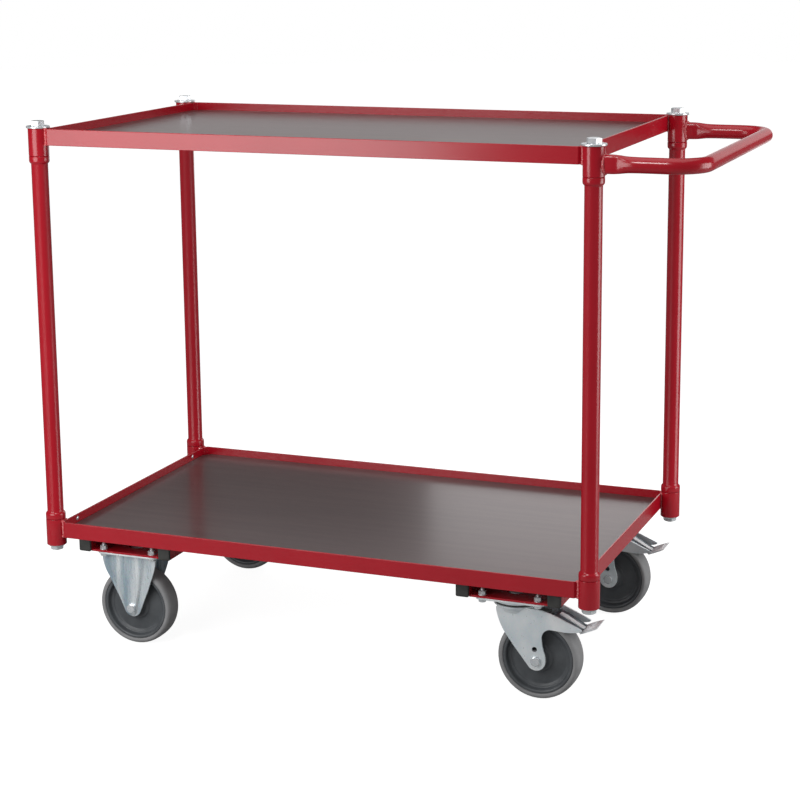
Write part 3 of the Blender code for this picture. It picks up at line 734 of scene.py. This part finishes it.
def cap(node):
    low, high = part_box(node)
    centre = (low + high) / 2
    way = 1 if centre.y > 0 else -1
    outside = high.y if way > 0 else low.y
    face = outside - way * 0.005
    half = TUBE_SIZE / 2
    levels = [
        (face - way * 0.011, half - 0.0026), (face, half - 0.0024), (face + way * 0.00005, half - 0.0002),
        (outside - way * 0.0016, half), (outside - way * 0.0005, half - 0.0006),
        (outside, half - 0.0018), (outside - way * 0.0003, half - 0.0042),
    ]
    bm = bmesh.new()
    rings = []
    for y, size in levels:
        outline = rounded_box(size, size, 0.0022)
        rings.append([bm.verts.new((centre.x + a, y, (low.z + high.z) / 2 + b)) for a, b in outline])
    bridge(bm, rings)
    bm.faces.new(rings[0])
    bm.faces.new(rings[-1])
    show(f"{node}_moulded", closed_faces(bm), CAP, "root", replaces=[node])


def castor_bolts(corner, plate_bottom, plate_top, centre):
    """Four bolts up through the castor's plate, each with a washer and a nut on the carrier's plate."""
    seat = plate_top + PLATE_DROP + 0.0003
    nut_low = seat + BOLT_WASHER[1]
    nut_high = nut_low + BOLT_NUT
    parts = []
    for way_x in (-1, 1):
        for way_y in (-1, 1):
            at = (centre.x + way_x * BOLT_SPACING[0], centre.y + way_y * BOLT_SPACING[1], 0.0)
            washer = rounded_profile([
                (BOLT_RADIUS, seat), (BOLT_WASHER[0], seat),
                (BOLT_WASHER[0], nut_low), (BOLT_RADIUS, nut_low),
            ], 0.0004)
            head = hexagon(BOLT_ACROSS, plate_bottom - BOLT_HEAD, plate_bottom, cut_low=True, cut_high=False)
            nut = hexagon(BOLT_ACROSS, nut_low, nut_high, BOLT_RADIUS, cut_low=True)
            stem = thread(BOLT_RADIUS, -(nut_high + BOLT_END), -plate_bottom)
            bmesh.ops.rotate(stem, verts=stem.verts, matrix=Matrix.Rotation(math.pi, 3, "X"))
            for part in (turned(washer, SMALL_SIDES), head, nut, stem):
                bmesh.ops.rotate(part, verts=part.verts, matrix=Matrix.Rotation(TURN / 12, 3, "Z"))
                parts.append(moved(part, at))
    show(f"castor_bolts_{corner}", joined(parts), BRIGHT, "root", sharp=HEX_SHARP)


# ---------------------------------------------------------------- wheels and axles


# Halves of the rim's and the tyre's sections, from the bore outwards, as (radius, distance from the middle)
RIM_SIDE = [
    (0.0081, 0.0216), (0.0100, 0.0216), (0.0104, 0.0210), (0.0108, 0.0207), (0.0132, 0.0207),
    (0.0136, 0.0212), (0.0140, 0.0217), (0.0148, 0.02175), (0.0154, 0.0212), (0.0157, 0.0200),
    (0.0162, 0.0140), (0.0167, 0.0122), (0.0178, 0.0112), (0.0196, 0.0108), (0.0208, 0.0108),
    (0.0214, 0.0104), (0.0219, 0.0094), (0.0228, 0.0086), (0.0260, 0.0078), (0.0340, 0.0062),
    (0.0405, 0.0051), (0.0422, 0.0052), (0.0432, 0.0058), (0.0440, 0.0066), (0.0450, 0.0070),
    (0.0464, 0.0071), (0.0474, 0.0076), (0.0480, 0.0088), (0.0486, 0.0125), (0.0491, 0.0144),
    (0.0499, 0.0152), (0.0512, 0.0155), (0.0528, 0.0155), (0.0534, 0.0151), (0.0535, 0.0140),
]
TYRE_SIDE = [
    (0.0538, 0.0150), (0.0541, 0.0160), (0.0549, 0.0166), (0.0562, 0.0169), (0.0575, 0.0170),
    (0.0586, 0.0167), (0.0597, 0.0159), (0.0607, 0.0147), (0.0614, 0.0133), (0.0619, 0.0116),
    (0.0622, 0.0095), (0.0624, 0.0060), (0.0625, 0.0030), (0.0625, 0.0006),
]


def both_sides(side):
    return side + [(radius, -across) for radius, across in reversed(side)]


def wheel(corner):
    where = middle(f"tyre_{corner}")
    body = BODY_OF[f"tyre_{corner}"]
    rim = turned(both_sides(RIM_SIDE), 128, "y")
    tyre = turned(both_sides(TYRE_SIDE), 160, "y")
    show(f"rim_moulding_{corner}", rim, RIM, body, where, [f"rim_{corner}"], sharp=MOULDED_SHARP)
    show(f"tyre_tread_{corner}", tyre, RUBBER, body, where, [f"tyre_{corner}"], sharp=MOULDED_SHARP)
    guard = [
        (0.0098, 0.0), (0.0098, 0.0009), (0.0104, 0.0012), (0.0128, 0.0010), (0.0135, 0.0003), (0.0135, 0.0),
    ]
    parts = [to_y(turned(guard, 64), way) for way in (-1, 1)]
    for part, way in zip(parts, (-1, 1)):
        moved(part, (0.0, way * 0.0207, 0.0))
    show(f"bearing_seal_{corner}", joined(parts), CAP, body, where)


def axle(corner, seat):
    """Hexagon head in front and nut behind, drawn up on the legs' outer faces, which are at seat."""
    node = f"axle_bolt_{corner}"
    where = middle(f"tyre_{corner}")
    parts = []
    for way in (-1, 1):
        spin = hexagon(AXLE_ACROSS, 0.0, AXLE_HEAD)
        bmesh.ops.rotate(spin, verts=spin.verts, matrix=Matrix.Rotation(0.35 * way, 3, "Z"))
        parts.append(moved(to_y(spin, way), (0.0, way * seat, 0.0)))
        section = [(0.0, 0.0), (0.0074, 0.0), (0.0074, 0.0008), (0.0, 0.0008)]
        ring = turned(rounded_profile(section, 0.0003), 48)
        parts.append(moved(to_y(ring, way), (0.0, way * seat, 0.0)))
    parts.append(to_y(turned([(0.0, -seat), (AXLE_RADIUS, -seat), (AXLE_RADIUS, seat), (0.0, seat)], 32), 1))
    tip = thread(AXLE_RADIUS, -(seat + AXLE_HEAD + 0.0018), -seat)
    parts.append(to_y(tip, -1))
    show(f"axle_{corner}", joined(parts), BRIGHT, BODY_OF[node], where, [node], sharp=HEX_SHARP)


# ---------------------------------------------------------------- rigid castors


def pressed_leg(way, axle_z, top):
    """A rigid castor's leg: a sheet with a raised panel that narrows from the plate down to the toe."""
    toe = axle_z - 0.005
    left_edge = [
        (toe, 0.01363), (0.0772, 0.0222), (0.092, 0.0300), (0.1067, 0.0375), (0.1214, 0.0455),
        (0.1362, 0.0500), (top, 0.0510),
    ]
    right_edge = [
        (toe, 0.01363), (0.0772, 0.0215), (0.092, 0.0278), (0.1067, 0.0330), (0.1214, 0.0385),
        (0.1362, 0.0425), (top, 0.0440),
    ]
    rows = []
    for step in range(12):
        angle = math.radians(-89 + 69 * step / 12)
        half = TOE_RADIUS * math.cos(angle)
        rows.append((axle_z + TOE_RADIUS * math.sin(angle), half, half))
    for step in range(41):
        z = toe + (top - toe) * step / 40
        rows.append((z, through(left_edge, z), through(right_edge, z)))
    columns = 48
    outer_face = LEG_INNER + LEG_THICKNESS

    def level(share, z):
        panel = smooth_step((share + 0.96) / 0.42) * (1 - smooth_step((share - 0.40) / 0.20))
        fade = smooth_step((z - (axle_z - TOE_RADIUS)) / 0.006)
        flare = max(0.0, 1 - (top - z) / 0.0045)
        turned_out = LEG_THICKNESS * (1 - math.sqrt(1 - flare**2))
        return outer_face - PRESS_DEPTH + 2 * PRESS_DEPTH * panel * fade + turned_out

    bm = bmesh.new()
    grids = []
    for depth in (0.0, LEG_THICKNESS):
        grid = []
        for z, left, right in rows:
            shares = [2 * i / columns - 1 for i in range(columns + 1)]
            grid.append([
                bm.verts.new((s * (left if s < 0 else right), way * (level(s, z) - depth), z)) for s in shares
            ])
        grids.append(grid)
    for grid in grids:
        for row, above in zip(grid, grid[1:]):
            for i in range(columns):
                bm.faces.new((row[i], row[i + 1], above[i + 1], above[i]))
    rims = [
        [grid[0][i] for i in range(columns + 1)]
        + [grid[r][columns] for r in range(1, len(rows))]
        + [grid[-1][i] for i in range(columns - 1, -1, -1)]
        + [grid[r][0] for r in range(len(rows) - 2, 0, -1)]
        for grid in grids
    ]
    bridge(bm, rims)
    return closed_faces(bm)


def rigid_castor(corner):
    node = f"rigid_bracket_{corner}"
    low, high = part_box(node)
    centre = (low + high) / 2
    axle_z = middle(f"tyre_{corner}").z
    plate_bottom = high.z - PLATE_THICKNESS
    outline = rounded_box((high.x - low.x) / 2, (high.y - low.y) / 2, PLATE_ROUND)
    plate = sheet([outline], plate_bottom, high.z)
    where = (centre.x, centre.y, 0.0)
    body = BODY_OF[node]
    show(f"rigid_plate_{corner}", plate, PRESSED, body, where, [node], 0.0007)
    for name, way in SIDES.items():
        leg = pressed_leg(way, axle_z, plate_bottom + 0.0004)
        show(f"rigid_leg_{corner}_{name}", leg, PAINTED_REFLECTION_ZINC, body, where, bevel=0.0007, steps=2)
    axle(corner, LEG_INNER + LEG_THICKNESS + PRESS_DEPTH)
    castor_bolts(corner, plate_bottom, high.z, centre)


# ---------------------------------------------------------------- swivel castors


def cheek_outline():
    """A fork cheek as (x, z) about the king pin: level top, a tail over the wheel and a leg to the axle."""
    toe = arc((TRAIL, 0.0625), TOE_RADIUS, 215, 355, 24)
    throat = arc((0.0600, 0.0985), 0.0145, 180, 95, 14)
    tail = [(0.072, 0.1120), (0.084, 0.1115), (0.096, 0.1128), (0.1055, 0.1150), (0.1065, 0.1178)]
    top = [
        (0.090, 0.1245), (0.0730, 0.1318), (0.0575, 0.1375), (0.045, 0.1405), (0.023, CROWN_TOP),
        (-0.022, CROWN_TOP),
    ]
    front = [(-0.0245, 0.1375), (-0.0225, 0.1280), (-0.0190, 0.1170), (-0.0105, 0.1000)]
    return toe + [(0.0516, 0.0700), (0.0468, 0.0850)] + throat + tail + top + front


def swivel_castor(corner):
    plate_node, fork_node = f"swivel_top_plate_{corner}", f"fork_{corner}"
    low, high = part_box(plate_node)
    centre = (low + high) / 2
    where = (centre.x, centre.y, 0.0)
    plate_bottom = high.z - PLATE_THICKNESS
    outline = rounded_box((high.x - low.x) / 2, (high.y - low.y) / 2, PLATE_ROUND)
    plate = sheet([outline, circle(0.0063, 32)], plate_bottom, high.z)
    show(f"swivel_plate_{corner}", plate, PRESSED, "root", where, [plate_node], 0.0007)
    race = rounded_profile([
        (0.0262, plate_bottom + 0.0004), (0.0350, plate_bottom + 0.0004), (0.0352, plate_bottom - 0.0012),
        (0.0348, plate_bottom - 0.0044), (0.0322, plate_bottom - 0.0045), (0.0262, plate_bottom - 0.0036),
    ], 0.0008)
    show(f"upper_race_{corner}", turned(race), PRESSED, "root", where)
    # A black seal ring fills the gap between the crown and the upper race; partly a seal, partly painted
    # shade standing for the dark gap under the plate.
    seal = [(0.0270, CROWN_TOP + 0.0005), (0.0318, CROWN_TOP + 0.0005), (0.0322, plate_bottom - 0.0050),
            (0.0312, plate_bottom - 0.0038), (0.0270, plate_bottom - 0.0038)]
    show(f"race_seal_and_shade_{corner}", turned(seal), CAP, BODY_OF[fork_node], where)
    castor_bolts(corner, plate_bottom, high.z, centre)

    loops = [softened(cheek_outline()), circle(0.0040, 40, (TRAIL - 0.002, 0.0800))]
    for name, way in SIDES.items():
        near, far = way * LEG_INNER, way * (LEG_INNER + LEG_THICKNESS)
        cheek = sheet(loops, min(near, far), max(near, far), "y")
        show(f"fork_cheek_{corner}_{name}", cheek, PRESSED, BODY_OF[fork_node], where, [fork_node], 0.0009)
    crown = rounded_profile([
        (0.0064, CROWN_TOP - 0.003), (0.0240, CROWN_TOP - 0.003), (0.0255, CROWN_TOP - 0.0110),
        (0.0268, CROWN_TOP - 0.0105), (0.0300, CROWN_TOP - 0.0040), (0.0338, CROWN_TOP - 0.0016),
        (0.0340, CROWN_TOP - 0.0002), (0.0305, CROWN_TOP + 0.0004), (0.0298, CROWN_TOP + 0.0020),
        (0.0262, CROWN_TOP + 0.0020), (0.0255, CROWN_TOP), (0.0064, CROWN_TOP),
    ], 0.0009)
    show(f"fork_crown_{corner}", turned(crown), PRESSED, BODY_OF[fork_node], where)
    axle(corner, LEG_INNER + LEG_THICKNESS)
    brake(corner, where)


def brake(corner, where):
    pedal_node, shoe_node = f"brake_pedal_{corner}", f"brake_shoe_{corner}"
    arm = [
        (0.0572, 0.1298), (0.0584, 0.1250), (0.0640, 0.1230), (0.0990, 0.1105), (0.1035, 0.1100),
        (0.1048, 0.1110), (0.1042, 0.1126), (0.1025, 0.1127), (0.1000, 0.1135), (0.0680, 0.1305),
        (0.0600, 0.1325),
    ]
    body = BODY_OF[pedal_node]
    show(f"pedal_arm_{corner}", sheet([softened(arm, 1)], -0.0165, 0.0165, "y"), SHADED, body, where,
         [pedal_node], 0.0005, 2)
    toe = [(0.1010, 0.1100), (0.1035, 0.1099), (0.1277, 0.1204), (0.1270, 0.1228), (0.1030, 0.1127)]
    parts = [sheet([softened(toe, 1)], -0.0195, 0.0195, "y")]
    slope = Vector((0.1268 - 0.1030, 0.0, 0.1228 - 0.1128)).normalized()
    normal = Vector((-slope.z, 0.0, slope.x))
    for y in (-0.013, -0.0065, 0.0, 0.0065, 0.013):
        start = Vector((0.1062, y, 0.1142)) - normal * 0.0004
        path = [start + slope * 0.017 * i / 12 for i in range(13)]
        parts.append(bead(path, 0.0011, Vector((0, 1, 0)), ripple=9.0, sides=8))
    show(f"pedal_toe_{corner}", joined(parts), TONGUE, body, where, bevel=0.0005, steps=2)
    outline = [
        (0.066, 0.1322), (0.0700, 0.1318), (0.0985, 0.1160), (0.1030, 0.1143), (0.1045, 0.1128),
        (0.0990, 0.1128), (0.068, 0.1295),
    ]
    tongue = sheet([softened(outline, 1)], -0.0048, 0.0048, "y")
    show(f"pedal_tongue_{corner}", tongue, TONGUE, body, where, bevel=0.0006)
    pin = [(0.0, -0.0222), (0.0030, -0.0222), (0.0030, 0.0222), (0.0, 0.0222)]
    show(f"pedal_pin_{corner}", moved(to_y(turned(pin, 32), 1), (0.062, 0.0, 0.128)), BRIGHT, body, where)
    inner = 0.0653
    lower = arc((TRAIL, 0.0625), inner, 116, 80, 24)
    upper = arc((TRAIL, 0.0625), inner + 0.0035, 80, 116, 24)
    show(f"shoe_pad_{corner}", sheet([lower + upper], -0.015, 0.015, "y"), CAP, BODY_OF[shoe_node], where,
         [shoe_node], 0.0005)


# ---------------------------------------------------------------- studio


def soft_box(name, place, aim, size, radiance):
    """A rectangular light that the camera doesn't see. Its power follows from its size and radiance."""
    data = bpy.data.lights.new(name, "AREA")
    data.shape = "RECTANGLE"
    data.size, data.size_y = size
    data.energy = radiance * math.pi * size[0] * size[1]
    light = bpy.data.objects.new(name, data)
    light.location = place
    light.rotation_euler = (Vector(aim) - Vector(place)).to_track_quat("-Z", "Y").to_euler()
    light.visible_camera = False
    bpy.context.scene.collection.objects.link(light)


def mixed(tree, share, first, second):
    """A colour that goes from first to second with a 0 to 1 share; either may be a socket."""
    mix = node_at(tree, "ShaderNodeMixRGB")
    tree.links.new(share, mix.inputs["Fac"])
    for socket, color in ((mix.inputs["Color1"], first), (mix.inputs["Color2"], second)):
        if isinstance(color, float):
            socket.default_value = (color, color, color, 1.0)
        else:
            tree.links.new(color, socket)
    return mix.outputs["Color"]


def studio():
    """White behind the object, an even soft fill, and boxes that show as bands in the paint."""
    world = bpy.data.worlds.new("studio")
    bpy.context.scene.world = world
    world.use_nodes = True
    tree = world.node_tree
    ray = node_at(tree, "ShaderNodeLightPath")
    fill = mixed(tree, ray.outputs["Is Glossy Ray"], FILL_LIGHT, FILL_REFLECTED)
    color = mixed(tree, ray.outputs["Is Camera Ray"], fill, 1.0)
    tree.links.new(color, tree.nodes["Background"].inputs["Color"])
    for name, light in SOFT_BOXES.items():
        soft_box(name, *light)

    bm = bmesh.new()
    bmesh.ops.create_circle(bm, cap_ends=True, segments=96, radius=14.0)
    mesh = bpy.data.meshes.new("floor")
    bm.to_mesh(mesh)
    bm.free()
    floor = bpy.data.objects.new("floor", mesh)
    floor.location = (0.0, 0.0, -0.0004)
    bpy.context.scene.collection.objects.link(floor)
    paint = surface("pale_floor", ((0.30, 0.30, 0.30), (0.33, 0.33, 0.33)), (0.75, 0.90), 2.0, 60.0, 0.00002)
    principled = paint.node_tree.nodes["Principled BSDF"]
    principled.inputs["Emission Color"].default_value = (1.0, 1.0, 1.0, 1.0)
    seen = node_at(paint.node_tree, "ShaderNodeLightPath")
    glow = spread_value(paint.node_tree, seen.outputs["Is Camera Ray"], 0.0, FLOOR_GLOW)
    paint.node_tree.links.new(glow, principled.inputs["Emission Strength"])
    mesh.materials.append(paint)


def camera():
    data = bpy.data.cameras.new("camera")
    data.lens, data.sensor_width = 87.801, 36.0
    data.shift_y = -0.08
    data.clip_end = 60.0
    eye = bpy.data.objects.new("camera", data)
    turn = Matrix.Rotation(0.37816, 4, "Z") @ Matrix.Rotation(math.pi / 2 - 0.20366, 4, "X")
    turn = turn @ Matrix.Rotation(-0.00907, 4, "Z")
    eye.matrix_world = Matrix.Translation((1.09525, -2.79208, 1.10369)) @ turn
    bpy.context.scene.collection.objects.link(eye)
    bpy.context.scene.camera = eye
    bpy.context.scene.view_settings.view_transform = "Standard"


# ---------------------------------------------------------------- the trolley

for level in ("upper", "lower"):
    shelf(level)
rivets()
for corner in CORNERS:
    post(corner)
    corner_fasteners(corner)
handle()
for end in ENDS:
    carrier(end)
    for side in SIDES:
        for row in ("inner", "outer"):
            cap(f"tube_cap_{side}_{end}_{row}")
for side in SIDES:
    rigid_castor(f"{side}_left")
    swivel_castor(f"{side}_right")
for corner in CORNERS:
    wheel(corner)
    for node in (f"hub_bush_{corner}", f"king_pin_{corner}"):
        if node in frame["nodes"]:
            frame["nodes"][node].data.materials.clear()
            frame["nodes"][node].data.materials.append(BRIGHT)

studio()
camera()
